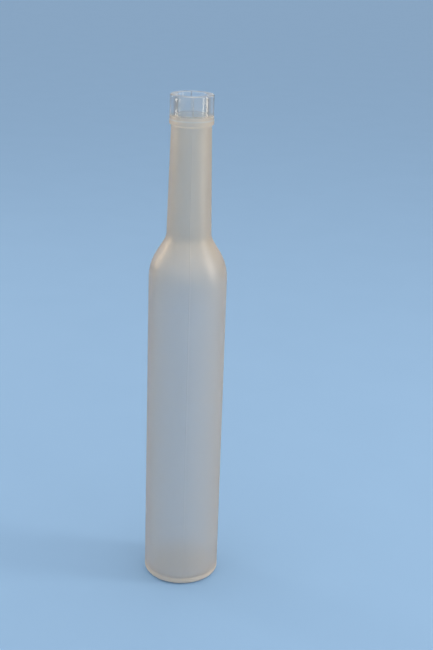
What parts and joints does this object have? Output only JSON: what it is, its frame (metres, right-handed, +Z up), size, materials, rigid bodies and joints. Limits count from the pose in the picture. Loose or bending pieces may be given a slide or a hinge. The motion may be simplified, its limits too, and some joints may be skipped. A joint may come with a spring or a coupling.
{
  "type": "frosted wine bottle",
  "caption": "Slim frosted glass dessert wine bottle, open and empty, with a long neck, a clear straight band around the mouth and a hollow under the foot.",
  "frame": {"origin": "centre of the foot, on the plane the bottle stands on", "axes": "+Z up along the bottle's axis, towards the mouth; +X and +Y are alike, as the bottle is round"},
  "size_m": [0.052, 0.052, 0.339],
  "materials": {
    "frosted_glass": "satin frosted outside, clear on the band around the mouth and smooth inside"
  },
  "bodies": {
    "root": {"bottle": "frosted_glass"}
  },
  "joints": []
}
